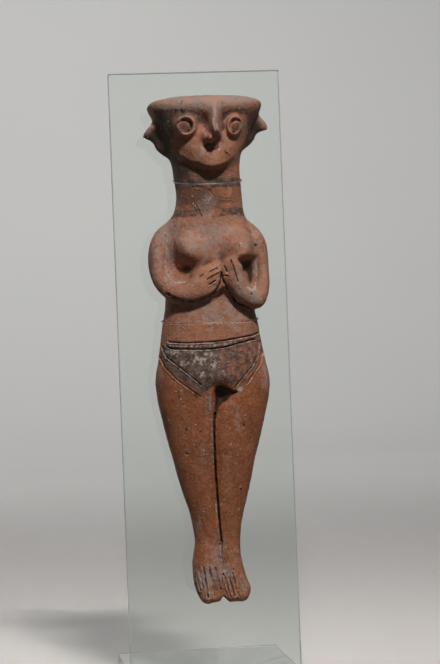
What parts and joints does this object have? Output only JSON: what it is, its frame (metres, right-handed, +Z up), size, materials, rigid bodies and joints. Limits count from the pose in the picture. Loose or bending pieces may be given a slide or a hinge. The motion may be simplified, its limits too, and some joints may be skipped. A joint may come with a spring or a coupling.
{
  "type": "terracotta figurine on a clear stand",
  "caption": "Upright flat-headed terracotta female figurine with hands under the breasts, tied with clear thread to a clear sheet on a clear foot plate.",
  "frame": {"origin": "middle of the foot plate's underside, which is also the middle of the bounding box's underside", "axes": "+Z up along the figurine and the sheet, the figurine faces -Y, +X to the right of someone who looks at its face"},
  "size_m": [0.072, 0.152, 0.257],
  "materials": {
    "terracotta": "matte",
    "clear_sheet": "polished",
    "clear_foot": "polished",
    "thread": "satin"
  },
  "bodies": {
    "root": {"figurine": "terracotta", "back_sheet": "clear_sheet", "foot_plate": "clear_foot", "neck_tie": "thread", "waist_tie": "thread"}
  },
  "joints": []
}
